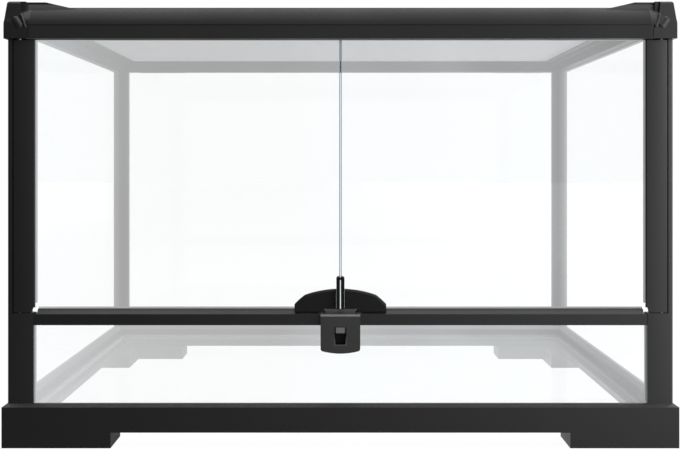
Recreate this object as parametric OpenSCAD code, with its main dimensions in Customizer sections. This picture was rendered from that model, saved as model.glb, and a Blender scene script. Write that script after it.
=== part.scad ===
// Front-opening glass terrarium with a black plastic frame.
// Millimetres. +Z is up, the origin is on the floor under the middle of the box, and the doors face -Y.
// Every piece of the object is one module, drawn alone by setting node to its name.

/* [Tank] */
// Width of the base frame, side to side
tank_width = 600; // [450:10:900]
// Depth of the base frame, front to back
tank_depth = 450; // [350:10:600]
// Height of the underside of the front top rail above the floor
head_z = 363; // [300:1:560]
// Thickness of every glass pane
glass_t = 4; // [3:0.5:5]

/* [Base frame] */
// Height of the corner feet
foot_height = 13.8; // [8:0.2:20]
// Length of each arm of an L-shaped foot
foot_arm = 96.5; // [60:0.5:120]
// Width of each arm of an L-shaped foot
foot_width = 40; // [30:1:60]
// Height of the vertical face of the base frame
base_face = 22.3; // [16:0.1:28]
// Height of the sloped edge above that face
base_slope = 2.6; // [1:0.1:4]
// How far the posts stand in from the base frame's face
post_inset = 4; // [3:0.5:5]

/* [Posts and crossbar] */
// Width of a front post
post_width = 23; // [22:0.5:28]
// Depth of a front post
post_depth = 24; // [22:0.5:32]
// Width of each leg of a rear corner post
rear_post = 17; // [16:0.5:30]
// Height of the crossbar's front lower edge above the floor
bar_z = 108.2; // [90:0.2:160]
// Height of the crossbar's front face
bar_face = 9.8; // [9.8:0.1:12]
// Rise of the crossbar's sloping top towards the doors
bar_rise = 4.3; // [3.5:0.1:4.5]
// Depth of the crossbar, front to back
bar_depth = 20.5; // [18:0.5:26]

/* [Doors] */
// Gap between the two door panes where they meet
door_gap = 0.6; // [0.6:0.1:4]
// Height of the two door pulls
pull_height = 28.4; // [20:0.2:60]
// How far a door pull stands out of the glass
pull_reach = 8.4; // [5:0.1:9]
// Radius of the steel hinge pins
hinge_pin_r = 2; // [1.5:0.1:2.2]

/* [Latch] */
// Width of the latch body
latch_width = 35.1; // [33:0.1:40]
// Width of the tongue on top of the latch body
tongue_width = 26.8; // [24:0.2:28]
// Radius of the latch's cross pin
latch_pin_r = 1.25; // [1:0.05:1.4]

/* [Lid] */
// Width of the bars of the screen lid's frame
lid_bar = 13; // [11:0.5:18]
// Thickness of the wire screen
mesh_t = 0.8; // [0.5:0.1:1.2]
// Openings across the screen's grid
mesh_nx = 12; // [4:1:12]
// Openings from front to back in the screen's grid
mesh_ny = 9; // [3:1:12]
// Width of the bars between those openings
mesh_bar = 1.6; // [1:0.1:3]

/* [Hidden] */
$fn = 64;
hw = tank_width / 2;
hd = tank_depth / 2;
// Base frame levels
base_top = foot_height + base_face + base_slope;
shelf_z = foot_height + 6.2;
channel_out = 7;
channel_in = channel_out + glass_t;
lip_in = channel_in + 3;
lip_top = base_top - 5;
shelf_in = 22;
floor_top = shelf_z + glass_t;
// Outside faces of the posts
px = hw - post_inset;
py = hd - post_inset;
// Door panes
door_front = -py + 1.8;
door_back = door_front + glass_t;
// Crossbar
bar_top = bar_z + bar_face;
sill_z = bar_top + bar_rise;
bar_y = -py + 0.5;
sill_y = door_back + 0.3;
stop_z = sill_z + 1.5;
slope_y = bar_y + 3.3;
bar_back = bar_y + bar_depth;
sill_end = px - post_width - 3;
// Door hinge axis: the hidden edge of the strip turns in the hollow of the post
barrel_r = 4.6;
strip_out = 4.9;
hinge_x = px - 9.7;
hinge_y = -py + 4;
strip_in = px - 24.4;
strip_front = -py + 0.6;
strip_back = -py + 11.5;
strip_bottom = bar_top + 1.5;
sweep_r = norm([strip_out, hinge_y - strip_front]) + 0.25;
mouth_x = hinge_x + strip_out + 0.4;
door_bottom = sill_z + 0.7;
door_top = head_z - 1;
// Top frame: rails, corner blocks and the ledge that the lid lies on
rx = hw - 1.3;
ry = hd - 1.3;
rail_w = 18.2;
block_w = 23;
rail_r = 17;
shoulder_z = head_z + 12.5;
rail_top = shoulder_z + rail_r;
side_low = head_z + 9;
cap_top = rail_top + 3.9;
ledge_z = head_z + 20;
ledge_w = 6.8;
mesh_rim = 5;
pane_top = head_z + 13;
// Latch: the cross pin and the faces of the body
latch_front = -hd - 3;
pin_y = -hd + 1.4;
pin_z = bar_z + 3.3;
latch_back = bar_y - 0.3;
latch_top = bar_top + 0.6;
latch_low = bar_z - 23.9;
latch_round = 2.6;
ear_x = 12;
ear_w = 3;
tongue_back = door_back + 0.4;
tongue_z = door_bottom - 0.7;
// Rear cable inlets
inlet_x = hw - 76;
inlet_w = 24;
inlet_z = head_z + 10.5;
inlet_h = 6;
inlet_y = hd - 0.8;
gate_reach = 0.4 - latch_front;

// Which piece to draw

// A box from its low corner to its high corner
module span(a, b) {
    translate(a)
        cube([b[0] - a[0], b[1] - a[1], b[2] - a[2]]);
}

// Both the left piece drawn below and its mirror image on the right
module both_sides() {
    children();
    mirror([1, 0, 0])
        children();
}

// A flat outline in Y and Z, pushed along X from x0 to x1
module along_x(x0, x1) {
    translate([x0, 0, 0])
        rotate([90, 0, 90])
            linear_extrude(x1 - x0)
                children();
}

// A flat outline in X and Z, pushed along Y from y0 to y1
module along_y(y0, y1) {
    translate([0, y1, 0])
        rotate([90, 0, 0])
            linear_extrude(y1 - y0)
                children();
}

// Base frame: an outer fascia with a sloped top edge, a channel that the wall panes stand in, an
// inner lip, a shelf for the floor pane and four L-shaped corner feet

module fascia_outline(half) {
    polygon([[-half, foot_height], [half, foot_height], [half, foot_height + base_face],
        [half - post_inset, base_top], [post_inset - half, base_top],
        [-half, foot_height + base_face]]);
}

module frame_block(inset, z0, z1) {
    span([inset - hw, inset - hd, z0], [hw - inset, hd - inset, z1]);
}

module foot() {
    difference() {
        span([-hw, -hd, 0], [foot_arm - hw, foot_arm - hd, foot_height]);
        span([foot_width - hw, foot_width - hd, -1],
            [foot_arm - hw + 1, foot_arm - hd + 1, foot_height + 1]);
    }
}

module base_frame() {
    color("#26272a") {
        difference() {
            intersection() {
                along_x(-hw, hw)
                    fascia_outline(hd);
                along_y(-hd, hd)
                    fascia_outline(hw);
            }
            frame_block(channel_out, shelf_z, base_top + 1);
            frame_block(shelf_in, foot_height - 1, base_top + 1);
        }
        difference() {
            frame_block(channel_in, shelf_z, lip_top);
            frame_block(lip_in, shelf_z - 1, lip_top + 1);
        }
        both_sides() {
            foot();
            mirror([0, 1, 0])
                foot();
        }
    }
}

// Glass box: floor, two sides, back and the low pane under the doors

module floor_glass() {
    color("#dfeaec", 0.35)
        frame_block(lip_in + 0.2, shelf_z, floor_top);
}

module side_glass() {
    span([channel_out - hw, post_depth / 2 - py, shelf_z],
        [channel_in - hw, hd - lip_in, pane_top]);
}

module left_side_glass() {
    color("#dfeaec", 0.35)
        side_glass();
}

module right_side_glass() {
    color("#dfeaec", 0.35)
        mirror([1, 0, 0])
            side_glass();
}

module rear_glass() {
    color("#dfeaec", 0.35)
        difference() {
            span([channel_in - hw, hd - channel_in, shelf_z],
                [hw - channel_in, hd - channel_out, pane_top]);
            both_sides()
                span([-inlet_x - inlet_w / 2 - 1, hd - channel_in - 1, inlet_z - 0.7],
                    [inlet_w / 2 + 1 - inlet_x, hd, pane_top + 1]);
        }
}

module lower_front_glass() {
    color("#dfeaec", 0.35)
        span([post_width / 2 - px, channel_out - hd, shelf_z],
            [px - post_width / 2, channel_in - hd, bar_z + 3.8]);
}

module seal_cut(half) {
    polygon([[3 - half, floor_top - 0.01], [half - 3, floor_top - 0.01], [half, floor_top + 3],
        [half, floor_top + 4], [-half, floor_top + 4], [-half, floor_top + 3]]);
}

// A cut bead of sealant along the four edges of the floor pane, against the inner lip
module floor_seal() {
    color("#d8dde0")
        difference() {
            frame_block(lip_in, floor_top, floor_top + 3);
            intersection() {
                along_x(-hw, hw)
                    seal_cut(hd - lip_in);
                along_y(-hd, hd)
                    seal_cut(hw - lip_in);
            }
        }
}

// Posts. The front ones have grooves for the glass and a hollow that the hinge strip turns in

module front_post() {
    difference() {
        union() {
            span([-px + 2, -py, base_top], [post_width - px, post_depth - py, head_z]);
            span([-px, 2 - py, base_top], [post_width - px, post_depth - py, head_z]);
            translate([2 - px, 2 - py, base_top])
                cylinder(h = head_z - base_top, r = 2);
        }
        // glass grooves
        span([channel_out - hw, post_depth / 2 - py, 0], [channel_in - hw, post_depth - py + 1, head_z + 1]);
        span([post_width / 2 - px, channel_out - hd, 0],
            [post_width - px + 1, channel_in - hd, bar_z + 3.8]);
        // hollow for the hinge strip, round where its outer edge sweeps past, with a narrower mouth
        translate([-hinge_x, hinge_y, strip_bottom - 0.5])
            cylinder(h = head_z, r = sweep_r);
        span([-mouth_x, -py - 1, strip_bottom - 0.5],
            [post_width - px + 1, strip_back + 0.7, head_z + 1]);
        // narrower behind the panes
        span([lip_in + 3 - hw, channel_in + 3 - hd, 0],
            [post_width - px + 1, post_depth - py + 1, strip_bottom + 7]);
        span([lip_in + 3 - hw, strip_back + 3.7, 0],
            [post_width - px + 1, post_depth - py + 1, head_z + 1]);
        span([-strip_in - 2, strip_back, 0], [post_width - px + 1, post_depth - py + 1, head_z + 1]);
        // lower pin socket
        translate([-hinge_x, hinge_y, strip_bottom - 7])
            cylinder(h = 10, r = hinge_pin_r + 0.05);
    }
}

module rear_corner_post() {
    difference() {
        span([-px, py - rear_post, base_top], [rear_post - px, py, side_low]);
        // grooves for the side pane and the rear pane
        span([channel_out - hw, 0, 0], [channel_in - hw, hd - lip_in, side_low + 1]);
        span([channel_in - hw, hd - channel_in, 0], [0, hd - channel_out, side_low + 1]);
        // open inner corner of the tank
        span([lip_in - hw, 0, 0], [0, hd - lip_in, side_low + 1]);
    }
}

module front_left_post() {
    color("#1f2022")
        front_post();
}

module front_right_post() {
    color("#1f2022")
        mirror([1, 0, 0])
            front_post();
}

module rear_left_post() {
    color("#1f2022")
        rear_corner_post();
}

module rear_right_post() {
    color("#1f2022")
        mirror([1, 0, 0])
            rear_corner_post();
}

// Crossbar: holds the low pane in a groove, slopes up to a low rib that the doors close against,
// and has a notch for the tongue of the latch

module crossbar() {
    color("#26272a")
        difference() {
            along_x(post_width - px, px - post_width)
                polygon([[bar_y, bar_z], [channel_out - hd, bar_z], [channel_out - hd, bar_z + 3.8],
                    [channel_in - hd, bar_z + 3.8], [channel_in - hd, bar_z],
                    [channel_in - hd + 2.5, bar_z], [channel_in - hd + 2.5, bar_z + 6.8],
                    [bar_back, bar_z + 6.8], [bar_back, bar_top + 2], [sill_y + 2.2, bar_top + 2],
                    [sill_y + 2.2, stop_z], [sill_y, stop_z], [sill_y, sill_z], [slope_y, sill_z],
                    [bar_y, bar_top]]);
            both_sides()
                span([post_width - px - 1, bar_y - 1, bar_top], [-sill_end, bar_back + 1, stop_z + 1]);
            span([-tongue_width / 2 - 0.7, bar_y - 1, bar_z + 5.3],
                [tongue_width / 2 + 0.7, tongue_back + 3.2, stop_z + 1]);
        }
}

// Two ears on the crossbar's face carry the cross pin of the latch
module latch_ears() {
    color("#1d1e20")
        both_sides()
            difference() {
                union() {
                    translate([-ear_x, pin_y, pin_z])
                        rotate([0, 90, 0])
                            cylinder(h = ear_w, r = 2.4);
                    span([-ear_x, pin_y, bar_z + 0.9], [ear_w - ear_x, bar_y, bar_z + 5.3]);
                }
                translate([-ear_x - 1, pin_y, pin_z])
                    rotate([0, 90, 0])
                        cylinder(h = ear_w + 2, r = latch_pin_r);
            }
}

module latch_pin() {
    color("#9aa0a4")
        translate([-latch_width / 2 + 0.8, pin_y, pin_z])
            rotate([0, 90, 0])
                cylinder(h = latch_width - 1.6, r = latch_pin_r);
}

// Top frame. A rail's section, with u measured in from the outer face: a low flat band, a round
// shoulder, a flat top, an inner wall and the ledge for the lid

module rail_section(low) {
    difference() {
        union() {
            translate([0.7, low])
                square([rail_w - 0.7, shoulder_z - low]);
            intersection() {
                translate([rail_r, shoulder_z])
                    circle(r = rail_r, $fn = 96);
                translate([0, shoulder_z])
                    square([rail_r, rail_r]);
            }
            translate([rail_r, shoulder_z])
                square([rail_w - rail_r, rail_r]);
        }
        difference() {
            union() {
                translate([3.2, low + 2.5])
                    square([rail_w - 5.7, shoulder_z - low - 2.5]);
                intersection() {
                    translate([rail_r, shoulder_z])
                        circle(r = rail_r - 2.5, $fn = 96);
                    translate([2, head_z + 12.4])
                        square([rail_w - 4.5, rail_r]);
                }
            }
            // the rib that stiffens the hollow
            translate([10.9, low])
                square([1.8, 40]);
        }
    }
}

// The ledge along a rail's inner side, which the lid lies on
module rail_ledge() {
    translate([rail_w, ledge_z - 3])
        square([ledge_w, 3]);
}

// The slot that a wall pane's top edge stands in
module pane_slot() {
    translate([channel_out - 1.3, head_z - 1])
        square([glass_t, pane_top - head_z + 1]);
}

module side_rail() {
    difference() {
        translate([-rx, 0, 0]) {
            along_y(block_w - ry, ry - block_w)
                difference() {
                    rail_section(side_low);
                    pane_slot();
                }
            along_y(rail_w + ledge_w - ry, ry - rail_w - ledge_w)
                rail_ledge();
        }
        // window in the inner wall for the lid's bolt
        span([9 - rx, -11.5, ledge_z + 1.2], [rail_w + 0.1 - rx, 11.5, ledge_z + 4.8]);
    }
}

module left_rail() {
    color("#232427")
        side_rail();
}

module right_rail() {
    color("#232427")
        mirror([1, 0, 0])
            side_rail();
}

module front_rail() {
    color("#232427")
        translate([0, -ry, 0]) {
            along_x(block_w - rx, rx - block_w)
                rail_section(head_z);
            along_x(rail_w - rx, rx - rail_w)
                rail_ledge();
        }
}

// Flat boss on the rear rail, with two hooked lips that the gate slides between
module inlet_boss() {
    along_x(-inlet_x - 42, 18 - inlet_x)
        polygon([[ry - 10, side_low], [inlet_y + 2.9, side_low], [inlet_y + 2.9, side_low + 2],
            [inlet_y + 2.1, side_low + 2], [inlet_y + 2.1, side_low + 1.1], [inlet_y, side_low + 1.1],
            [inlet_y, side_low + 9.9], [inlet_y + 2.1, side_low + 9.9], [inlet_y + 2.1, side_low + 9],
            [inlet_y + 2.9, side_low + 9], [inlet_y + 2.9, side_low + 11.5], [ry - 10, side_low + 11.5]]);
}

module rear_rail() {
    color("#232427")
        difference() {
            union() {
                mirror([0, 1, 0])
                    translate([0, -ry, 0]) {
                        along_x(block_w - rx, rx - block_w)
                            rail_section(side_low);
                        along_x(rail_w - rx, rx - rail_w)
                            rail_ledge();
                    }
                both_sides()
                    inlet_boss();
            }
            mirror([0, 1, 0])
                translate([0, -ry, 0])
                    along_x(-rx, rx)
                        pane_slot();
            // the two windows, right through the rail
            both_sides()
                span([-inlet_x - inlet_w / 2, 0, inlet_z], [inlet_w / 2 - inlet_x, hd + 9, inlet_z + inlet_h]);
        }
}

// Corner block: carries on the shape of the two rails, and has a tapered tower with a slanted
// inner edge, a ridge and a rib on its outer faces, and a cap whose two ramps run out over the rails

module rail_outline(half) {
    translate([0.7 - half, head_z])
        square([block_w, 12.5]);
    intersection() {
        translate([rail_r - half, shoulder_z])
            circle(r = rail_r, $fn = 96);
        translate([-half, shoulder_z])
            square([rail_r, rail_r]);
    }
    translate([rail_r - half, shoulder_z])
        square([block_w - rail_r, rail_r]);
}

// Side view of the tower: tapered outside, round upper corner, slanted inside
module tower_outline(half) {
    translate([-half, 0])
        polygon([[0, head_z], [21, head_z], [21, head_z + 8.5], [15.4, head_z + 23.5],
            [14, cap_top], [5, cap_top], [2.4, cap_top - 2.6], [0, shoulder_z]]);
    translate([5 - half, cap_top - 2.6])
        circle(r = 2.6, $fn = 48);
}

// One arm of the cap, along X, shaped to the rail under it and ending in a ramp
module cap_arm() {
    difference() {
        intersection() {
            along_x(2.4 - rx, 75 - rx)
                polygon([[9.6 - ry, cap_top], [9.6 - ry, cap_top - 2], [8.2 - ry, rail_top - 2.3],
                    [8.2 - ry, rail_top - 5], [rail_w - ry, rail_top - 5], [rail_w - ry, cap_top]]);
            along_y(-ry, rail_w - ry)
                polygon([[5 - rx, rail_top - 5], [73.2 - rx, rail_top - 5], [34.9 - rx, cap_top],
                    [5 - rx, cap_top]]);
        }
        along_x(block_w - rx, 80 - rx)
            rail_outline(ry);
    }
}

// Slanted ridge on the tower's face, fading out at both ends
module tower_ridge() {
    translate([11.6 - rx, 6.7 - ry, head_z + 13.7])
        rotate([-5, -37, 0]) {
            translate([0, 0, -4])
                cylinder(h = 8, r = 7.3);
            translate([0, 0, 4])
                cylinder(h = 6, r1 = 7.3, r2 = 4.5);
            translate([0, 0, -10])
                cylinder(h = 6, r1 = 4.5, r2 = 7.3);
        }
}

// Thin rib along the slanted edge of the tower
module tower_rib() {
    translate([19.8 - rx, 0.9 - ry, head_z + 8.6])
        rotate([-5, -20.5, 0]) {
            translate([0, 0, 2])
                cylinder(h = 11, r = 1.8);
            translate([0, 0, 13])
                cylinder(h = 2, r1 = 1.8, r2 = 0.8);
            cylinder(h = 2, r1 = 0.8, r2 = 1.8);
        }
}

module transposed() {
    children();
    translate([ry - rx, rx - ry, 0])
        mirror([1, -1, 0])
            children();
}

module corner_block() {
    difference() {
        union() {
            intersection() {
                along_x(-rx, block_w - rx)
                    rail_outline(ry);
                along_y(-ry, block_w - ry)
                    rail_outline(rx);
                transposed()
                    span([-hw, -hd, head_z], [block_w - rx, rail_w - ry, rail_top]);
            }
            intersection() {
                along_x(-rx, block_w - rx)
                    tower_outline(ry);
                along_y(-ry, block_w - ry)
                    tower_outline(rx);
                transposed()
                    span([-hw, -hd, head_z], [block_w - rx, rail_w - ry, cap_top + 1]);
            }
            transposed() {
                cap_arm();
                tower_rib();
                intersection() {
                    tower_ridge();
                    span([-rx, -hd, head_z + 2], [0, rail_w - ry, cap_top]);
                }
            }
        }
        // hollow for the lid's corner and the inside of the tank
        span([rail_w - rx, rail_w - ry, 0], [0, 0, cap_top + 1]);
    }
}

// A skirt under the end of a side rail, over the top of the post
module block_skirt(length) {
    span([0.7 - rx, 0.7 - ry, head_z], [lip_in - hw, length - ry, side_low]);
}

module front_block() {
    difference() {
        union() {
            corner_block();
            block_skirt(post_depth + 3.7);
        }
        // upper pin socket
        translate([-hinge_x, hinge_y, head_z - 1])
            cylinder(h = 8, r = hinge_pin_r + 0.05);
        // slot for the side pane
        span([channel_out - hw, post_depth / 2 - py, head_z - 1], [channel_in - hw, 0, pane_top]);
    }
}

module rear_block() {
    difference() {
        mirror([0, 1, 0])
            corner_block();
        // ends level with the side and rear rails, on top of its post
        span([-hw, 0, head_z - 1], [0, hd, side_low]);
        span([channel_out - hw, 0, head_z - 1], [channel_in - hw, hd - lip_in, pane_top]);
        span([channel_in - hw, hd - channel_in, head_z - 1], [0, hd - channel_out, pane_top]);
    }
}

module front_left_corner() {
    color("#1b1c1e")
        front_block();
}

module front_right_corner() {
    color("#1b1c1e")
        mirror([1, 0, 0])
            front_block();
}

module rear_left_corner() {
    color("#1b1c1e")
        rear_block();
}

module rear_right_corner() {
    color("#1b1c1e")
        mirror([1, 0, 0])
            rear_block();
}

// Doors. Each pane is gripped by a hinge strip that turns in the post's hollow on two steel pins

module door_glass() {
    span([-strip_in - 8.9, door_front, door_bottom], [-door_gap / 2, door_back, door_top]);
}

module hinge_strip() {
    difference() {
        union() {
            translate([0, 0, strip_bottom])
                linear_extrude(door_top - strip_bottom)
                    polygon([[-hinge_x - strip_out + 0.4, strip_front],
                        [-strip_in - 0.9, strip_front], [-strip_in, strip_front + 0.9],
                        [-strip_in, strip_back], [-hinge_x - 1, strip_back],
                        [-hinge_x - barrel_r, strip_back - 3], [-hinge_x - barrel_r, hinge_y],
                        [-hinge_x - strip_out, hinge_y - 0.3],
                        [-hinge_x - strip_out, strip_front + 0.4]]);
        }
        span([-strip_in - 8.9, door_front, door_bottom], [0, door_back, door_top + 1]);
        // shorter lip behind the pane
        span([-strip_in - 6.6, door_back - 0.1, 0], [0, 0, head_z]);
        // rounded notch at the lower inner corner
        translate([-strip_in, strip_front - 1, strip_bottom + 1])
            rotate([-90, 0, 0])
                cylinder(h = strip_back - strip_front + 2, r = 3.6);
        // pin holes at both ends
        translate([-hinge_x, hinge_y, strip_bottom - 1])
            cylinder(h = 13, r = hinge_pin_r);
        translate([-hinge_x, hinge_y, door_top - 12])
            cylinder(h = 13, r = hinge_pin_r);
    }
}

module hinge_pins() {
    translate([-hinge_x, hinge_y, strip_bottom - 6])
        cylinder(h = 18, r = hinge_pin_r);
    translate([-hinge_x, hinge_y, door_top - 12])
        cylinder(h = 18, r = hinge_pin_r);
}

// Half of the half-moon plate on the front of the panes: two discs crossed, with a sloped rim
module moon_disc(r, top) {
    translate([0, door_front, top - r])
        rotate([90, 0, 0])
            cylinder(h = 1.5, r = r, $fn = 200);
    translate([0, door_front - 1.5, top - r])
        rotate([90, 0, 0])
            cylinder(h = 1, r1 = r, r2 = r - 1.7, $fn = 200);
}

module door_catch() {
    difference() {
        intersection() {
            moon_disc(95, door_bottom + 17.6);
            moon_disc(54.6, door_bottom + 22.2);
            span([-40.8, door_front - 3, door_bottom - 2.4], [-3.7, door_back, door_bottom + 40]);
        }
        span([-tongue_width / 2 - 5.1, door_front - 3, 0], [0, door_back, tongue_z + 0.6]);
    }
}

// A thin upright fin on the meeting edge of the pane, with a round top corner
module door_pull() {
    top = door_bottom + 0.4 + pull_height;
    difference() {
        union() {
            translate([0, door_front, 0])
                rotate([90, 0, 0])
                    linear_extrude(pull_reach) {
                        translate([-3.6, door_bottom + 0.4])
                            square([2.8, pull_height - 1.8]);
                        translate([-1.8, top - 1.8])
                            circle(r = 1.8);
                        translate([-1.8, top - 3])
                            square([1, 3]);
                    }
        }
        translate([-10, door_front - pull_reach - 0.01, top - 6])
            rotate([45, 0, 0])
                translate([0, -20, 0])
                    cube([20, 20, 40]);
    }
}

module left_door_glass() {
    color("#dfeaec", 0.35)
        door_glass();
}

module left_door_catch() {
    color("#1d1e20")
        door_catch();
}

module right_door_catch() {
    color("#1d1e20")
        mirror([1, 0, 0])
            door_catch();
}

module left_hinge_strip() {
    color("#232427")
        hinge_strip();
}

module left_hinge_pins() {
    color("#9aa0a4")
        hinge_pins();
}

module left_door_pull() {
    color("#1d1e20")
        door_pull();
}

module right_door_glass() {
    color("#dfeaec", 0.35)
        mirror([1, 0, 0])
            door_glass();
}

module right_hinge_strip() {
    color("#232427")
        mirror([1, 0, 0])
            hinge_strip();
}

module right_hinge_pins() {
    color("#9aa0a4")
        mirror([1, 0, 0])
            hinge_pins();
}

module right_door_pull() {
    color("#1d1e20")
        mirror([1, 0, 0])
            door_pull();
}

// Latch: a flap that swings out on its cross pin, with a tongue over the crossbar and a pocket
// with a lock slider in its face

// Square above, a shallow arc below, and rounded lower corners
module latch_outline() {
    half = latch_width / 2;
    arc_r = latch_width * 1.8;
    inner = arc_r - latch_round;
    rise = arc_r - sqrt(inner * inner - (half - latch_round) * (half - latch_round));
    difference() {
        intersection() {
            translate([-half, latch_low])
                square([latch_width, latch_top - latch_low]);
            translate([0, latch_low + arc_r])
                circle(r = arc_r, $fn = 240);
        }
        both_sides()
            difference() {
                translate([-half - 1, latch_low - 1])
                    square([half + 1 - (half - latch_round) * arc_r / inner, rise + 1]);
                translate([latch_round - half, latch_low + rise])
                    circle(r = latch_round);
            }
    }
}

module pocket_outline() {
    low = bar_z - 15.9;
    polygon([[-4.3, low], [4.3, low], [5.3, low + 10.2], [5.3, low + 15.5], [-5.3, low + 15.5],
        [-5.3, low + 10.2]]);
}

module latch_body() {
    half = latch_width / 2;
    color("#2a2b2e")
        difference() {
            union() {
                difference() {
                    translate([0, latch_back, 0])
                        rotate([90, 0, 0])
                            linear_extrude(latch_back - latch_front)
                                latch_outline();
                    // hollow back, which clears the ears
                    span([2.8 - half, latch_front + 1.7, latch_low + 4], [half - 2.8, 0, latch_top - 2.6]);
                }
                // block that the pocket is sunk in
                span([-7.6, latch_front + 1, latch_low + 5], [7.6, latch_front + 6.6, bar_z + 0.6]);
                // tongue
                along_x(-tongue_width / 2, tongue_width / 2)
                    polygon([[latch_front + 1, latch_top - 2.6], [latch_front + 1, latch_top],
                        [latch_front + 1.5, latch_top + 0.05], [tongue_back, tongue_z],
                        [tongue_back, tongue_z - 2.6], [latch_front + 6, latch_top - 2.6]]);
            }
            // relief of the top back corners, so the flap clears the crossbar as it swings
            both_sides()
                difference() {
                    span([-half - 1, pin_y - 0.4, pin_z], [-tongue_width / 2 - 0.01, 0, latch_top + 1]);
                    translate([-half - 2, pin_y, pin_z])
                        rotate([0, 90, 0])
                            cylinder(h = 10, r = 2.7);
                }
            // chamfer along the top front edge
            along_x(-half - 1, half + 1)
                polygon([[latch_front - 1, latch_top - 1.4], [latch_front, latch_top - 1.4],
                    [latch_front + 1.5, latch_top + 0.1], [latch_front - 1, latch_top + 1]]);
            // bore for the cross pin
            translate([-half + 0.6, pin_y, pin_z])
                rotate([0, 90, 0])
                    cylinder(h = latch_width - 1.2, r = latch_pin_r + 0.05);
            // pocket, with slots at its floor for the slider's foot
            translate([0, latch_front + 5, 0])
                rotate([90, 0, 0])
                    linear_extrude(6)
                        pocket_outline();
            span([-6.2, latch_front + 3.6, bar_z - 15.9], [6.2, latch_front + 5, bar_z - 0.4]);
        }
}

module lock_slider() {
    color("#6b6e72") {
        span([-3.8, latch_front - 0.4, bar_z - 5.8], [3.8, latch_front + 4, bar_z - 0.8]);
        span([-5.9, latch_front + 3.8, bar_z - 5.8], [5.9, latch_front + 4.8, bar_z - 0.8]);
    }
}

// Screen lid: a flat frame with a sheet of wire screen, held by two small bolts

module lid_frame() {
    lx = rx - rail_w - 0.5;
    ly = ry - rail_w - 0.5;
    color("#26272a")
        difference() {
            span([-lx, -ly, ledge_z], [lx, ly, ledge_z + 5.4]);
            span([lid_bar - lx, lid_bar - ly, ledge_z - 1], [lx - lid_bar, ly - lid_bar, ledge_z + 9]);
            // groove for the screen
            span([lid_bar - 4 - lx, lid_bar - 4 - ly, ledge_z + 1.2],
                [lx - lid_bar + 4, ly - lid_bar + 4, ledge_z + 1.2 + mesh_t]);
            // slides for the two bolts
            both_sides()
                span([-lx - 1, -10.2, ledge_z + 2.6], [lid_bar - lx + 1, 10.2, ledge_z + 9]);
        }
}

module lid_mesh() {
    lx = rx - rail_w - 0.5 - lid_bar + 4;
    ly = ry - rail_w - 0.5 - lid_bar + 4;
    step_x = (2 * lx - 2 * mesh_rim + mesh_bar) / mesh_nx;
    step_y = (2 * ly - 2 * mesh_rim + mesh_bar) / mesh_ny;
    color("#8d9296", 0.5)
        difference() {
            span([-lx, -ly, ledge_z + 1.2], [lx, ly, ledge_z + 1.2 + mesh_t]);
            // a plain grid of openings stands for the fine weave
            for (i = [0 : mesh_nx - 1])
                for (j = [0 : mesh_ny - 1])
                    span([-lx + mesh_rim + i * step_x, -ly + mesh_rim + j * step_y, ledge_z],
                        [-lx + mesh_rim + i * step_x + step_x - mesh_bar,
                            -ly + mesh_rim + j * step_y + step_y - mesh_bar, ledge_z + 4]);
        }
}

module lid_bolt() {
    lx = rx - rail_w - 0.5;
    span([0.3 - lx, -10, ledge_z + 2.6], [lid_bar - 1 - lx, 10, ledge_z + 4.4]);
    span([lid_bar - 4 - lx, -7, ledge_z + 4.4], [lid_bar - 1 - lx, 7, ledge_z + 8]);
}

module left_lid_bolt() {
    color("#3a3c40")
        lid_bolt();
}

module right_lid_bolt() {
    color("#3a3c40")
        mirror([1, 0, 0])
            lid_bolt();
}

// Gate that closes a cable inlet in the rear rail, with a finger tab
module inlet_gate() {
    front = inlet_y + 0.1;
    span([-inlet_x - inlet_w / 2 - 2, front, side_low + 1.3],
        [inlet_w / 2 + 2 - inlet_x, front + 1.8, side_low + 9.7]);
    span([inlet_w / 2 - 3 - inlet_x, front + 1.8, side_low + 2.5],
        [inlet_w / 2 - inlet_x, gate_reach, side_low + 8.5]);
}

module left_inlet_gate() {
    color("#3a3c40")
        inlet_gate();
}

module right_inlet_gate() {
    color("#3a3c40")
        mirror([1, 0, 0])
            inlet_gate();
}

base_frame();
floor_glass();
left_side_glass();
right_side_glass();
rear_glass();
lower_front_glass();
floor_seal();
front_left_post();
front_right_post();
rear_left_post();
rear_right_post();
crossbar();
latch_ears();
latch_pin();
front_rail();
rear_rail();
left_rail();
right_rail();
front_left_corner();
front_right_corner();
rear_left_corner();
rear_right_corner();
left_door_glass();
left_hinge_strip();
left_hinge_pins();
left_door_catch();
left_door_pull();
right_door_glass();
right_hinge_strip();
right_hinge_pins();
right_door_catch();
right_door_pull();
latch_body();
lock_slider();
lid_frame();
lid_mesh();
left_lid_bolt();
right_lid_bolt();
left_inlet_gate();
right_inlet_gate();
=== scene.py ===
# %% [markdown]
# # A glass terrarium with a black plastic frame
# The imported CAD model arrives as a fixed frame: every node already lies where it belongs, in
# metres, with the origin on the floor. This file only gives it looks. It adds what a CAD kernel
# draws badly (ground glass edges, a woven screen), paints every surface with nodes, and then
# lights the object and frames it as the product picture does.

import math

import bmesh
import bpy
from mathutils import Matrix, Vector


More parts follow.
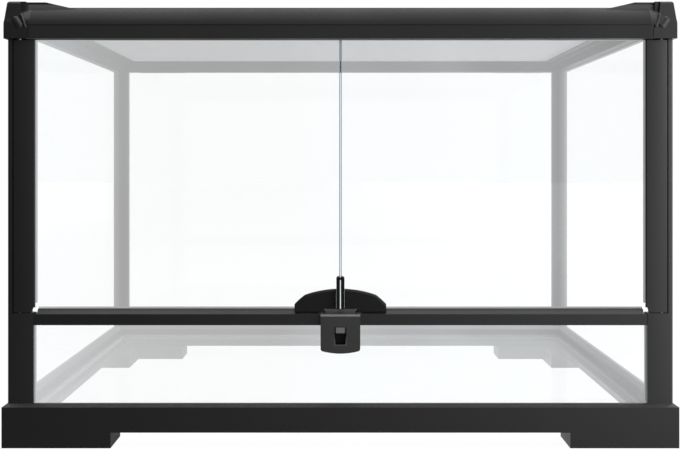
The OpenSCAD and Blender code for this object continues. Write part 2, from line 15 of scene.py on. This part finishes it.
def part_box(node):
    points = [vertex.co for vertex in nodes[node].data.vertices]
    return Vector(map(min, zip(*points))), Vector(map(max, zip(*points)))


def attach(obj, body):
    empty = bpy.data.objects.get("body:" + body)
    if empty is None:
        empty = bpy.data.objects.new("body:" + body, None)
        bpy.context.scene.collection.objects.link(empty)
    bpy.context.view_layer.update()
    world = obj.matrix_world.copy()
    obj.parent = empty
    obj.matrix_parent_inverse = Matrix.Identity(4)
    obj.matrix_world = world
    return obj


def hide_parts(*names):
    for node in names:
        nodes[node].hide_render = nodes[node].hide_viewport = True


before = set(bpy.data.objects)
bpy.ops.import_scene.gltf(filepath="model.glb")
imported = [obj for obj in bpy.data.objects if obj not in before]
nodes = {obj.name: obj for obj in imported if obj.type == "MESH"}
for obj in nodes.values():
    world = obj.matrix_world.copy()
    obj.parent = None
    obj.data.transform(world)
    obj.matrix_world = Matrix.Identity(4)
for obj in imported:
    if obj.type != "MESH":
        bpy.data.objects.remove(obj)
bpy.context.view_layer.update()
MM = 0.001

# %% [markdown]
# ## Small tools
# A shader is a graph, so two helpers keep the graphs readable: one adds a node with its constants
# set on the sockets, one joins two sockets. Meshes are made with bmesh operators. Each new piece
# is placed by its vertices and rides one CAD body.

# %% Tools for shaders
def add(tree, kind, **sockets):
    node = tree.nodes.new(kind)
    for name, value in sockets.items():
        node.inputs[name.replace("_", " ")].default_value = value
    return node


def link(tree, *pairs):
    for source, target in pairs:
        tree.links.new(source, target)


def maths(tree, operation, kind="Math"):
    node = tree.nodes.new("ShaderNode" + kind)
    node.operation = operation
    return node


def colours(tree, first, second):
    """A node that mixes two colours. With first None, a link brings the first one."""
    node = tree.nodes.new("ShaderNodeMix")
    node.data_type = "RGBA"
    for socket, colour in (("A", first), ("B", second)):
        if colour:
            node.inputs[socket].default_value = (*colour, 1)
    return node


def ramp(tree, fac, low, high, to_low=0.0, to_high=1.0):
    """Maps fac from low..high to to_low..to_high, and clamps it."""
    node = tree.nodes.new("ShaderNodeMapRange")
    for i, value in enumerate((low, high, to_low, to_high), 1):
        node.inputs[i].default_value = value
    link(tree, (fac, node.inputs[0]))
    return node.outputs[0]


def blank(name):
    mat = bpy.data.materials.new(name)
    mat.use_nodes = True
    mat.node_tree.nodes.clear()
    out = mat.node_tree.nodes.new("ShaderNodeOutputMaterial")
    return mat, mat.node_tree, out.inputs["Surface"]


def group(name, inputs, outputs):
    """A node group whose sockets are (name, type, default) and (name, type)."""
    tree = bpy.data.node_groups.new(name, "ShaderNodeTree")
    for label, kind, value in inputs:
        socket = tree.interface.new_socket(label, in_out="INPUT", socket_type=kind)
        socket.default_value = value
    for label, kind in outputs:
        tree.interface.new_socket(label, in_out="OUTPUT", socket_type=kind)
    start, end = tree.nodes.new("NodeGroupInput"), tree.nodes.new("NodeGroupOutput")
    return tree, start.outputs, end.inputs


def use(tree, grp, **sockets):
    node = tree.nodes.new("ShaderNodeGroup")
    node.node_tree = grp
    for name, value in sockets.items():
        node.inputs[name.replace("_", " ")].default_value = value
    return node


# %% Tools for meshes
def piece(name, bm, body, *materials, smooth=False):
    mesh = bpy.data.meshes.new(name)
    bmesh.ops.recalc_face_normals(bm, faces=bm.faces)
    bm.to_mesh(mesh)
    bm.free()
    obj = bpy.data.objects.new(name, mesh)
    bpy.context.collection.objects.link(obj)
    for mat in materials:
        mesh.materials.append(mat)
    for face in mesh.polygons:
        face.use_smooth = smooth
    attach(obj, body)
    return obj


def block(bm, low, high):
    """A box between two corners, added to bm."""
    low, high = Vector(low), Vector(high)
    bmesh.ops.create_cube(bm, size=1, matrix=Matrix.LocRotScale((low + high) / 2, None, high - low))


SHARP = 32  # degrees: an edge that turns more than this is rounded


def soft_edges(name, width):
    """A rounded edge on a CAD node, as a modifier, so its own vertices stay as imported."""
    mod = nodes[name].modifiers.new("soft_edges", "BEVEL")
    mod.width, mod.segments, mod.limit_method = width, 2, "ANGLE"
    mod.angle_limit = math.radians(SHARP)
    mod.use_clamp_overlap = True
    mod.harden_normals = True


# %% [markdown]
# ## Shared surface effects
# Black plastic is never one flat colour. Spark-eroded moulds leave a fine grain, extrusion dies
# leave faint lines along the bar, hands leave smoother patches, and dust settles on whatever faces
# up. Each effect is a group that gives a mask or a normal. The crowned face leans the normals
# away from a face's middle, as an arch would, without changing the shape.

# %% Grain, draw lines and dust
NF, NV = "NodeSocketFloat", "NodeSocketVector"

grain, gi, go = group(
    "moulded_grain",
    [("Vector", NV, (0, 0, 0)), ("Grain", NF, 1400.0), ("Depth", NF, 0.12)],
    [("Normal", NV), ("Smudge", NF)],
)
fine = add(grain, "ShaderNodeTexNoise", Detail=3.0, Roughness=0.6)
bump = add(grain, "ShaderNodeBump", Distance=0.0002)
broad = add(grain, "ShaderNodeTexNoise", Scale=9.0, Detail=4.0, Distortion=0.4)
link(
    grain,
    (gi["Vector"], fine.inputs["Vector"]),
    (gi["Grain"], fine.inputs["Scale"]),
    (fine.outputs["Fac"], bump.inputs["Height"]),
    (gi["Depth"], bump.inputs["Strength"]),
    (bump.outputs["Normal"], go["Normal"]),
    (gi["Vector"], broad.inputs["Vector"]),
    (ramp(grain, broad.outputs["Fac"], 0.35, 0.7), go["Smudge"]),
)

draw, di, do = group(
    "draw_lines",
    [("Vector", NV, (0, 0, 0)), ("Stretch", NV, (1, 1, 1)), ("Depth", NF, 0.1)],
    [("Normal", NV), ("Lines", NF)],
)
stretch = maths(draw, "MULTIPLY", "VectorMath")
lines = add(draw, "ShaderNodeTexNoise", Scale=1.0, Detail=4.0, Roughness=0.7)
line_bump = add(draw, "ShaderNodeBump", Distance=0.0002)
link(
    draw,
    (di["Vector"], stretch.inputs[0]),
    (di["Stretch"], stretch.inputs[1]),
    (stretch.outputs[0], lines.inputs["Vector"]),
    (lines.outputs["Fac"], line_bump.inputs["Height"]),
    (di["Depth"], line_bump.inputs["Strength"]),
    (line_bump.outputs["Normal"], do["Normal"]),
    (ramp(draw, lines.outputs["Fac"], 0.3, 0.7), do["Lines"]),
)

dust, ui, uo = group("settled_dust", [("Vector", NV, (0, 0, 0)), ("Up", NF, 0.0)], [("Dust", NF)])
cloud = add(dust, "ShaderNodeTexNoise", Scale=40.0, Detail=6.0, Roughness=0.7)
specks = add(dust, "ShaderNodeTexNoise", Scale=700.0, Detail=2.0)
both = maths(dust, "MULTIPLY")
lie = maths(dust, "MULTIPLY")
link(
    dust,
    (ui["Vector"], cloud.inputs["Vector"]),
    (ui["Vector"], specks.inputs["Vector"]),
    (ramp(dust, cloud.outputs["Fac"], 0.35, 0.75), both.inputs[0]),
    (ramp(dust, specks.outputs["Fac"], 0.45, 0.65), both.inputs[1]),
    (both.outputs[0], lie.inputs[0]),
    (ramp(dust, ui["Up"], 0.4, 0.95), lie.inputs[1]),
    (lie.outputs[0], uo["Dust"]),
)

crowned, wi, wo = group(
    "crowned_face",
    [
        ("Vector", NV, (0, 0, 0)),
        ("Normal", NV, (0, 0, 0)),
        ("Middle", NF, 0.28),
        ("Half", NF, 0.01),
        ("Lean", NF, 0.1),
    ],
    [("Normal", NV)],
)
across = add(crowned, "ShaderNodeSeparateXYZ")
side, centre = maths(crowned, "SIGN"), maths(crowned, "MULTIPLY")
off, share = maths(crowned, "SUBTRACT"), maths(crowned, "DIVIDE")
lean = maths(crowned, "MULTIPLY")
aside = add(crowned, "ShaderNodeCombineXYZ")
turned = maths(crowned, "ADD", "VectorMath")
unit = maths(crowned, "NORMALIZE", "VectorMath")
link(
    crowned,
    (wi["Vector"], across.inputs[0]),
    (across.outputs["X"], side.inputs[0]),
    (side.outputs[0], centre.inputs[0]),
    (wi["Middle"], centre.inputs[1]),
    (across.outputs["X"], off.inputs[0]),
    (centre.outputs[0], off.inputs[1]),
    (off.outputs[0], share.inputs[0]),
    (wi["Half"], share.inputs[1]),
    (share.outputs[0], lean.inputs[0]),
    (wi["Lean"], lean.inputs[1]),
    (lean.outputs[0], aside.inputs["X"]),
    (wi["Normal"], turned.inputs[0]),
    (aside.outputs[0], turned.inputs[1]),
    (turned.outputs[0], unit.inputs[0]),
    (unit.outputs[0], wo["Normal"]),
)
inside, ii, io = group(
    "inside_box",
    [("Vector", NV, (0, 0, 0)), ("Centre", NV, (0, 0, 0)), ("Half", NV, (1, 1, 1))],
    [("Inside", NF)],
)
steps = [maths(inside, operation, "VectorMath") for operation in ("SUBTRACT", "DIVIDE", "ABSOLUTE")]
sides = add(inside, "ShaderNodeSeparateXYZ")
most_xy, most_xyz = maths(inside, "MAXIMUM"), maths(inside, "MAXIMUM")
link(
    inside,
    (ii["Vector"], steps[0].inputs[0]),
    (ii["Centre"], steps[0].inputs[1]),
    (steps[0].outputs[0], steps[1].inputs[0]),
    (ii["Half"], steps[1].inputs[1]),
    (steps[1].outputs[0], steps[2].inputs[0]),
    (steps[2].outputs[0], sides.inputs[0]),
    (sides.outputs["X"], most_xy.inputs[0]),
    (sides.outputs["Y"], most_xy.inputs[1]),
    (most_xy.outputs[0], most_xyz.inputs[0]),
    (sides.outputs["Z"], most_xyz.inputs[1]),
    (ramp(inside, most_xyz.outputs[0], 0.98, 1.02, 1.0, 0.0), io["Inside"]),
)
print("groups:", [g.name for g in bpy.data.node_groups])

# %% [markdown]
# ## Black plastics
# One recipe serves all of them: the grain or the draw lines give the normal, smudges shift the
# tone and the roughness, and dust greys the upward faces. The numbers differ, and they were fitted
# to the picture: the corner blocks are smoothest, the base frame, posts and strips satin, and the
# rails and small fittings nearly matt.

# %% Plastic materials
SMUDGED = 0.7
DUST_GREY = (0.30, 0.29, 0.27)
ALONG, ACROSS = 30.0, 2600.0


def plastic(
    name, colour, roughness, grain_scale=1400.0, depth=0.12, along=None, dusty=0.13, gloss=0.5,
    crown=None,
):
    """A black plastic. along is the axis of its draw lines, crown its arch: middle, half, lean."""
    mat, tree, surface = blank(name)
    place = add(tree, "ShaderNodeTexCoord")
    skin = use(tree, grain, Grain=grain_scale, Depth=depth)
    powder = use(tree, dust)
    facing = add(tree, "ShaderNodeSeparateXYZ")
    link(
        tree,
        (place.outputs["Object"], skin.inputs["Vector"]),
        (place.outputs["Object"], powder.inputs["Vector"]),
        (place.outputs["Normal"], facing.inputs[0]),
        (facing.outputs["Z"], powder.inputs["Up"]),
    )
    tone = colours(tree, [c * SMUDGED for c in colour], colour)
    grey = colours(tree, None, DUST_GREY)
    amount = maths(tree, "MULTIPLY")
    amount.inputs[1].default_value = dusty
    paint = add(tree, "ShaderNodeBsdfPrincipled", IOR=1.46, Specular_IOR_Level=gloss)
    link(
        tree,
        (skin.outputs["Smudge"], tone.inputs["Factor"]),
        (tone.outputs["Result"], grey.inputs["A"]),
        (powder.outputs["Dust"], amount.inputs[0]),
        (amount.outputs[0], grey.inputs["Factor"]),
        (grey.outputs["Result"], paint.inputs["Base Color"]),
        (ramp(tree, skin.outputs["Smudge"], 0, 1, roughness + 0.05, roughness - 0.05),
         paint.inputs["Roughness"]),
        (skin.outputs["Normal"], paint.inputs["Normal"]),
        (paint.outputs[0], surface),
    )
    if along:
        drawn = use(tree, draw, Stretch=[ALONG if a == along else ACROSS for a in "xyz"], Depth=depth)
        link(
            tree,
            (place.outputs["Object"], drawn.inputs["Vector"]),
            (drawn.outputs["Normal"], paint.inputs["Normal"]),
        )
        if crown:
            arch = use(tree, crowned, Middle=crown[0], Half=crown[1], Lean=crown[2])
            link(
                tree,
                (place.outputs["Object"], arch.inputs["Vector"]),
                (drawn.outputs["Normal"], arch.inputs["Normal"]),
                (arch.outputs["Normal"], paint.inputs["Normal"]),
            )
    return mat


frame_plastic = plastic("frame_plastic", (0.0040, 0.0040, 0.0038), 0.38, gloss=0.56)
post_plastic = plastic(
    "post_plastic", (0.0060, 0.0060, 0.0057), 0.40,
    depth=0.08, along="z", gloss=0.58, crown=(0.284, 0.012, 0.10),
)
strip_plastic = plastic(
    "strip_plastic", (0.0085, 0.0085, 0.0081), 0.38,
    depth=0.08, along="z", crown=(0.2805, 0.010, 0.12),
)
rail_look = {"colour": (0.0120, 0.0120, 0.0114), "roughness": 0.50, "depth": 0.07, "gloss": 0.31}
rail_x_plastic = plastic("rail_plastic_x", along="x", **rail_look)
rail_y_plastic = plastic("rail_plastic_y", along="y", **rail_look)
corner_plastic = plastic("corner_plastic", (0.0055, 0.0055, 0.0052), 0.34, depth=0.08)
fitting_plastic = plastic("fitting_plastic", (0.0022, 0.0022, 0.0021), 0.50, gloss=0.28)
pull_plastic = plastic("pull_plastic", (0.0020, 0.0020, 0.0019), 0.60, gloss=0.2)
latch_plastic = plastic(
    "latch_plastic", (0.0270, 0.0270, 0.0256), 0.46, grain_scale=1900.0, depth=0.25,
)
slider_plastic = plastic("slider_plastic", (0.15, 0.15, 0.15), 0.42, dusty=0.1)
lid_plastic = plastic("lid_plastic", (0.012, 0.012, 0.012), 0.46, dusty=0.18)

# %% [markdown]
# The latch's top edge and the lip under the slider are painted paler than its face, as painted
# highlights, and the inside of the pocket is painted darker and duller, as painted shade. The
# picture doesn't show whether wear or light does that. The greys here are stand-ins fitted to it,
# each inside a box in the piece's own coordinates, so they stay the same under any light.

# %% Painted highlights and painted shade on the latch
tree = latch_plastic.node_tree
place = add(tree, "ShaderNodeTexCoord")
paint = next(n for n in tree.nodes if n.type == "BSDF_PRINCIPLED")
for centre, half, shade in (  # the box in mm, and the grey inside it
    # painted highlight on the top edge
    ((0, -227.0, 118.0), (30, 1.3, 0.9), 0.110),
    # painted highlight on the lip under the slider
    ((0, -228.2, 94.6), (5.8, 0.5, 3.5), 0.045),
    # painted shade inside the pocket
    ((0, -225.0, 100.1), (6.6, 2.8, 8.4), 0.004),
):
    spot = use(tree, inside, Centre=[v * MM for v in centre], Half=[v * MM for v in half])
    over = colours(tree, None, (shade, shade, shade))
    link(
        tree,
        (place.outputs["Object"], spot.inputs["Vector"]),
        (spot.outputs["Inside"], over.inputs["Factor"]),
        (paint.inputs["Base Color"].links[0].from_socket, over.inputs["A"]),
        (over.outputs["Result"], paint.inputs["Base Color"]),
    )
# the pocket's painted shade also lowers the specular level there
link(tree, (ramp(tree, spot.outputs["Inside"], 0, 1, 0.5, 0.15), paint.inputs["Specular IOR Level"]))
print("latch nodes:", len(tree.nodes))

# %% [markdown]
# ## Steel pins
# The pins are drawn wire, cut to length. Hardly any of them shows, so one fine noise is enough: it
# shifts the tone, the roughness and the normal alike.

# %% Steel
steel, tree, surface = blank("pin_steel")
place = add(tree, "ShaderNodeTexCoord")
wire_lines = use(tree, draw, Stretch=(900.0, 900.0, 900.0), Depth=0.2)
metal = add(tree, "ShaderNodeBsdfPrincipled", Metallic=1.0)
tint = colours(tree, (0.20, 0.20, 0.21), (0.32, 0.33, 0.34))
link(
    tree,
    (place.outputs["Object"], wire_lines.inputs["Vector"]),
    (wire_lines.outputs["Normal"], metal.inputs["Normal"]),
    (wire_lines.outputs["Lines"], tint.inputs["Factor"]),
    (tint.outputs["Result"], metal.inputs["Base Color"]),
    (ramp(tree, wire_lines.outputs["Lines"], 0, 1, 0.42, 0.28), metal.inputs["Roughness"]),
    (metal.outputs[0], surface),
)

# %% [markdown]
# ## Glass
# In a white studio a pane does two things at once: it lets most light through, and it mirrors
# the white room in front of it, which pales whatever stands behind. That paling isn't mirrored
# from the lamps here. It is a painted reflection: a faint glow mixed into the clear face, in soft
# slanted bands, which on the front panes thins out towards the right. Its strengths were fitted to
# the picture, so it stays the same under any light. A mirror reflection by Fresnel is added, held
# to a tenth at most. The cut edges are another finish: ground, then lightly arrissed, so they
# scatter light and show the blue-green body of the glass.

# %% Glass materials
bands, bi, bo = group("slanted_bands", [("Vector", NV, (0, 0, 0))], [("Band", NF)])
slant = add(bands, "ShaderNodeMapping")
slant.inputs["Rotation"].default_value = (0.0, math.radians(24), 0.0)
slant.inputs["Scale"].default_value = (7.0, 0.7, 0.7)
sweep = add(bands, "ShaderNodeTexNoise", Scale=1.0, Detail=1.0)
link(
    bands,
    (bi["Vector"], slant.inputs["Vector"]),
    (slant.outputs[0], sweep.inputs["Vector"]),
    (ramp(bands, sweep.outputs["Fac"], 0.40, 0.62), bo["Band"]),
)


def pane_glass(name, reflection_level, spread, strength, most=0.10, fade=0.0, drop=0.0):
    """Glass with a painted reflection: a glow whose share falls by 2 * fade to the right, and by
    `drop` at the end.
    """
    mat, tree, surface = blank(name)
    place = add(tree, "ShaderNodeTexCoord")
    band = use(tree, bands)
    parts = add(tree, "ShaderNodeSeparateXYZ")
    amount, slope = maths(tree, "ADD"), maths(tree, "SUBTRACT")
    clear = add(tree, "ShaderNodeBsdfTransparent", Color=(0.993, 0.997, 0.998, 1))
    tint = colours(tree, (1.0, 1.0, 1.0), (0.955, 0.98, 1.0))
    # painted reflection of the white room: a glow, though the pane is no lamp
    painted_reflection = add(tree, "ShaderNodeEmission", Strength=strength)
    mirror = add(tree, "ShaderNodeBsdfGlossy", Roughness=0.02)
    lens = add(tree, "ShaderNodeFresnel", IOR=1.45)
    glint = maths(tree, "MINIMUM")
    glint.inputs[1].default_value = most
    with_reflection = add(tree, "ShaderNodeMixShader")
    whole = add(tree, "ShaderNodeMixShader")
    link(
        tree,
        (place.outputs["Object"], band.inputs["Vector"]),
        (band.outputs["Band"], tint.inputs["Factor"]),
        (tint.outputs["Result"], painted_reflection.inputs["Color"]),
        (place.outputs["Object"], parts.inputs[0]),
        (ramp(tree, band.outputs["Band"], 0, 1, reflection_level - spread, reflection_level + spread), amount.inputs[0]),
        (ramp(tree, parts.outputs["X"], -0.3, 0.3, fade, -fade), slope.inputs[0]),
        (ramp(tree, parts.outputs["X"], 0.1, 0.28, 0.0, drop), slope.inputs[1]),
        (slope.outputs[0], amount.inputs[1]),
        (amount.outputs[0], with_reflection.inputs["Fac"]),
        (clear.outputs[0], with_reflection.inputs[1]),
        (painted_reflection.outputs[0], with_reflection.inputs[2]),
        (lens.outputs[0], glint.inputs[0]),
        (glint.outputs[0], whole.inputs["Fac"]),
        (with_reflection.outputs[0], whole.inputs[1]),
        (mirror.outputs[0], whole.inputs[2]),
        (whole.outputs[0], surface),
    )
    return mat


front_glass = pane_glass("front_pane_face", 0.202, 0.03, 1.08, fade=0.035, drop=0.05)
low_glass = pane_glass("low_pane_face", 0.24, 0.03, 1.08, fade=0.06, drop=0.05)
other_glass = pane_glass("other_pane_face", 0.06, 0.02, 1.35, most=0.05)

edge_glass, tree, surface = blank("ground_glass_edge")
place = add(tree, "ShaderNodeTexCoord")
frost = add(tree, "ShaderNodeTexNoise", Scale=1500.0, Detail=4.0)
frost_bump = add(tree, "ShaderNodeBump", Strength=0.3, Distance=0.0002)
body = colours(tree, (0.20, 0.31, 0.38), (0.32, 0.44, 0.51))
ground = add(tree, "ShaderNodeBsdfPrincipled", Roughness=0.35, IOR=1.5)
glow = add(tree, "ShaderNodeBsdfTranslucent")
scatter = add(tree, "ShaderNodeMixShader", Fac=0.35)
link(
    tree,
    (place.outputs["Object"], frost.inputs["Vector"]),
    (frost.outputs["Fac"], frost_bump.inputs["Height"]),
    (frost.outputs["Fac"], body.inputs["Factor"]),
    (body.outputs["Result"], ground.inputs["Base Color"]),
    (body.outputs["Result"], glow.inputs["Color"]),
    (frost_bump.outputs["Normal"], ground.inputs["Normal"]),
    (ground.outputs[0], scatter.inputs[1]),
    (glow.outputs[0], scatter.inputs[2]),
    (scatter.outputs[0], surface),
)
print("glass:", front_glass.name, low_glass.name, other_glass.name, edge_glass.name)

# %% [markdown]
# ## Panes
# Each pane is built from its CAD node's own box, so it has the CAD size. The rear pane's outline
# also has the two notches of the cable inlets. A bevel on the upright edges is the arris, wider on
# the doors, whose edges show in their gap. It takes the ground finish, and so do the upright ends.

# %% Build the panes
def pane(node, body, face_mat, arris=0.5 * MM, notches=()):
    low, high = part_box(node)
    bm = bmesh.new()
    thin = min(range(3), key=lambda i: high[i] - low[i])
    if not notches:
        block(bm, low, high)
    else:
        # the outline with notches in its top edge, pushed through the thickness
        points = [(low[0], low[2]), (high[0], low[2]), (high[0], high[2])]
        for x0, x1, z in sorted(notches, reverse=True):
            points += [(x1, high[2]), (x1, z), (x0, z), (x0, high[2])]
        points += [(low[0], high[2])]
        face = bm.faces.new([bm.verts.new((x, low[1], z)) for x, z in points])
        out = bmesh.ops.extrude_face_region(bm, geom=[face])
        moved = [v for v in out["geom"] if isinstance(v, bmesh.types.BMVert)]
        bmesh.ops.translate(bm, verts=moved, vec=(0, high[1] - low[1], 0))
        bmesh.ops.recalc_face_normals(bm, faces=bm.faces)
    upright = [e for e in bm.edges if abs(e.verts[0].co.z - e.verts[1].co.z) > 20 * MM]
    bmesh.ops.bevel(
        bm, geom=upright, offset=arris, offset_type="OFFSET", segments=1, profile=0.5,
        affect="EDGES", clamp_overlap=True, material=-1,
    )
    for face in bm.faces:
        # the top and bottom edges are polished, and hidden in channels
        face.material_index = 0 if max(abs(face.normal[thin]), abs(face.normal.z)) > 0.99 else 1
    obj = piece(node + "_pane", bm, body, face_mat, edge_glass)
    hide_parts(node)
    return obj


pane("floor_glass", "tank", other_glass)
pane("left_side_glass", "tank", other_glass)
pane("right_side_glass", "tank", other_glass)
pane("lower_front_glass", "tank", low_glass)
for hand in ("left", "right"):
    pane(hand + "_door_glass", hand + "_door", front_glass, arris=0.8 * MM)
# each notch: from x, to x, and the height of its floor
left_notch, right_notch = (-0.237, -0.211, 0.3728), (0.211, 0.237, 0.3728)
pane("rear_glass", "tank", other_glass, notches=[left_notch, right_notch])

# %% [markdown]
# ## Wire screen
# The lid's screen is woven from thin wire. At this size the weave reads as two layers of straight
# wires, one over the other, so each wire is a slim bar and the layers touch.

# %% Build the screen
screen_wire, tree, surface = blank("screen_wire")
place = add(tree, "ShaderNodeTexCoord")
weathered = add(tree, "ShaderNodeTexNoise", Scale=60.0, Detail=4.0)
wire_tone = colours(tree, (0.42, 0.42, 0.43), (0.57, 0.57, 0.58))
wire_paint = add(tree, "ShaderNodeBsdfPrincipled", Metallic=0.25)
link(
    tree,
    (place.outputs["Object"], weathered.inputs["Vector"]),
    (weathered.outputs["Fac"], wire_tone.inputs["Factor"]),
    (wire_tone.outputs["Result"], wire_paint.inputs["Base Color"]),
    (ramp(tree, weathered.outputs["Fac"], 0.3, 0.7, 0.3, 0.5), wire_paint.inputs["Roughness"]),
    (wire_paint.outputs[0], surface),
)

low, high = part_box("lid_mesh")
pitch, thick = 2.2 * MM, 0.3 * MM
middle = (low[2] + high[2]) / 2
bm = bmesh.new()
for axis, level in ((0, middle), (1, middle - thick)):
    count = int((high[axis] - low[axis]) / pitch)
    for i in range(1, count):
        at = low[axis] + i * (high[axis] - low[axis]) / count
        a = [low[0], low[1], level]
        b = [high[0], high[1], level + thick]
        a[axis], b[axis] = at - thick / 2, at + thick / 2
        block(bm, a, b)
screen = piece("woven_screen", bm, "lid", screen_wire)
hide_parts("lid_mesh")
print("screen triangles:", sum(len(p.vertices) - 2 for p in screen.data.polygons))

# %% [markdown]
# ## Sealant
# The floor bead keeps its CAD shape. Clear silicone is soft, slightly greyish and see-through.

# %% Sealant
sealant, tree, surface = blank("sealant")
place = add(tree, "ShaderNodeTexCoord")
wave = add(tree, "ShaderNodeTexNoise", Scale=120.0, Detail=3.0)
wave_bump = add(tree, "ShaderNodeBump", Strength=0.4, Distance=0.0005)
milk = colours(tree, (0.30, 0.32, 0.33), (0.44, 0.46, 0.47))
gum = add(tree, "ShaderNodeBsdfPrincipled", Roughness=0.3, Alpha=0.35)
link(
    tree,
    (place.outputs["Object"], wave.inputs["Vector"]),
    (wave.outputs["Fac"], wave_bump.inputs["Height"]),
    (wave.outputs["Fac"], milk.inputs["Factor"]),
    (milk.outputs["Result"], gum.inputs["Base Color"]),
    (wave_bump.outputs["Normal"], gum.inputs["Normal"]),
    (gum.outputs[0], surface),
)

# %% [markdown]
# ## Finish the CAD nodes
# Moulded and extruded edges are never sharp. A bevel modifier rounds each one by a few tenths of
# a millimetre, which is what catches the thin bright lines in the product picture.

# %% Paint and soften
finishes = {
    frame_plastic: (0.6, "base_frame crossbar"),
    post_plastic: (0.5, "front_left_post front_right_post rear_left_post rear_right_post"),
    rail_x_plastic: (0.4, "front_rail rear_rail"),
    rail_y_plastic: (0.4, "left_rail right_rail"),
    corner_plastic: (0.5, "front_left_corner front_right_corner rear_left_corner rear_right_corner"),
    strip_plastic: (0.4, "left_hinge_strip right_hinge_strip"),
    fitting_plastic: (0.3, "left_door_catch right_door_catch latch_ears"),
    pull_plastic: (0.15, "left_door_pull right_door_pull"),
    latch_plastic: (0.4, "latch_body"),
    slider_plastic: (0.3, "lock_slider left_lid_bolt right_lid_bolt"),
    lid_plastic: (0.4, "lid_frame left_inlet_gate right_inlet_gate"),
    steel: (0.25, "latch_pin left_hinge_pins right_hinge_pins"),
    sealant: (0.0, "floor_seal"),
}
for mat, (width, names) in finishes.items():
    for name in names.split():
        obj = nodes[name]
        obj.data.materials.clear()
        obj.data.materials.append(mat)
        if width:
            soft_edges(name, width * MM)
print("painted:", sum(len(names.split()) for _, names in finishes.values()), "CAD nodes")

# %% [markdown]
# ## Room, light and camera
# The picture has a white ground with hardly a shadow. The floor is a dark grey sheet that glows
# white towards the camera, so that only a faint shadow shows under the feet. All other rays meet
# a room and a floor that grow brighter from left to right. The black parts mirror these, and
# their steepness was fitted to the tones in the picture.

# %% World and floor
REACH = 0.6
GROWTH = 2.2


def rising(tree, vector, middle, growth):
    """A strength of `middle` at x = 0, which grows as e to the growth * x, up to x = REACH."""
    parts = add(tree, "ShaderNodeSeparateXYZ")
    power = maths(tree, "EXPONENT")
    start, span = math.log(middle), REACH * growth
    link(tree, (vector, parts.inputs[0]))
    climb = ramp(tree, parts.outputs["X"], -REACH, REACH, start - span, start + span)
    link(tree, (climb, power.inputs[0]))
    return power.outputs[0]


world = bpy.data.worlds.new("studio")
bpy.context.scene.world = world
world.use_nodes = True
tree = world.node_tree
tree.nodes.clear()
out = add(tree, "ShaderNodeOutputWorld")
seen = add(tree, "ShaderNodeLightPath")
white = add(tree, "ShaderNodeBackground", Strength=1.0)
white.inputs["Color"].default_value = (1, 1, 1, 1)
room = add(tree, "ShaderNodeBackground")
room.inputs["Color"].default_value = (0.97, 0.98, 1.0, 1)
way = add(tree, "ShaderNodeTexCoord")
choose = add(tree, "ShaderNodeMixShader")
link(
    tree,
    # the room that black faces mirror: dim on the left, bright on the right
    (rising(tree, way.outputs["Generated"], 0.46, GROWTH), room.inputs["Strength"]),
    (seen.outputs["Is Camera Ray"], choose.inputs["Fac"]),
    (room.outputs[0], choose.inputs[1]),
    (white.outputs[0], choose.inputs[2]),
    (choose.outputs[0], out.inputs["Surface"]),
)

floor_mat, tree, surface = blank("studio_floor")
place = add(tree, "ShaderNodeTexCoord")
seen = add(tree, "ShaderNodeLightPath")
paper = add(tree, "ShaderNodeBsdfDiffuse")
paper.inputs["Color"].default_value = (0.05, 0.05, 0.05, 1)
far = maths(tree, "LENGTH", "VectorMath")
level = tree.nodes.new("ShaderNodeMix")
shine = add(tree, "ShaderNodeEmission")
mix = add(tree, "ShaderNodeAddShader")
link(
    tree,
    (place.outputs["Object"], far.inputs[0]),
    # what the camera sees: a little darker round the object, so that its shadow shows
    (ramp(tree, far.outputs["Value"], 0.4, 1.1, 0.968, 0.99), level.inputs["B"]),
    # what the object mirrors: the same rise from left to right as in the room
    (rising(tree, place.outputs["Object"], 0.40, GROWTH), level.inputs["A"]),
    (seen.outputs["Is Camera Ray"], level.inputs["Factor"]),
    (level.outputs[0], shine.inputs["Strength"]),
    (shine.outputs[0], mix.inputs[0]),
    (paper.outputs[0], mix.inputs[1]),
    (mix.outputs[0], surface),
)
bm = bmesh.new()
bmesh.ops.create_grid(bm, x_segments=1, y_segments=1, size=12)
mesh = bpy.data.meshes.new("studio_floor")
bm.to_mesh(mesh)
bm.free()
floor = bpy.data.objects.new("studio_floor", mesh)
bpy.context.collection.objects.link(floor)
mesh.materials.append(floor_mat)

# %% Lights
def softbox(name, at, towards, width, height, watts):
    lamp = bpy.data.lights.new(name, "AREA")
    lamp.shape = "RECTANGLE"
    lamp.size, lamp.size_y, lamp.energy = width, height, watts
    obj = bpy.data.objects.new(name, lamp)
    bpy.context.collection.objects.link(obj)
    obj.location = at
    obj.rotation_euler = (Vector(towards) - Vector(at)).to_track_quat("-Z", "Y").to_euler()


softbox("overhead", (0.0, -0.1, 1.8), (0, -0.1, 0.3), 2.4, 2.0, 26)
softbox("front_top", (0.0, -1.4, 1.7), (0, -0.2, 0.2), 2.0, 0.5, 8)
softbox("right_front", (1.5, -1.5, 0.7), (0.1, 0, 0.2), 0.5, 1.0, 8)
softbox("left_side", (-1.9, 0.0, 0.6), (-0.3, -0.2, 0.2), 0.4, 0.8, 1)
softbox("right_side", (1.9, 0.0, 0.6), (0.3, -0.2, 0.2), 0.4, 0.8, 5)

# %% [markdown]
# The camera stands straight in front, 0.9 m from the base frame's face, a little above the middle
# of the doors, and looks level. The lens is shifted, as a view camera's is, so that upright edges
# stay upright while the picture frame sits lower than the lens.

# %% Camera
F_PX, WIDE, HORIZON, CENTRE = 1017.0, 680, 163.0, 340.4
cam = bpy.data.cameras.new("camera")
cam.sensor_width = 36
cam.lens = 36 * F_PX / WIDE
cam.shift_x = -(CENTRE - WIDE / 2) / WIDE
cam.shift_y = -(449 / 2 - HORIZON) / WIDE
eye = bpy.data.objects.new("camera", cam)
bpy.context.collection.objects.link(eye)
eye.location = (0, -1.125, 0.2525)
eye.rotation_euler = (math.radians(90), 0, 0)
bpy.context.scene.camera = eye
bpy.context.scene.view_settings.view_transform = "Standard"
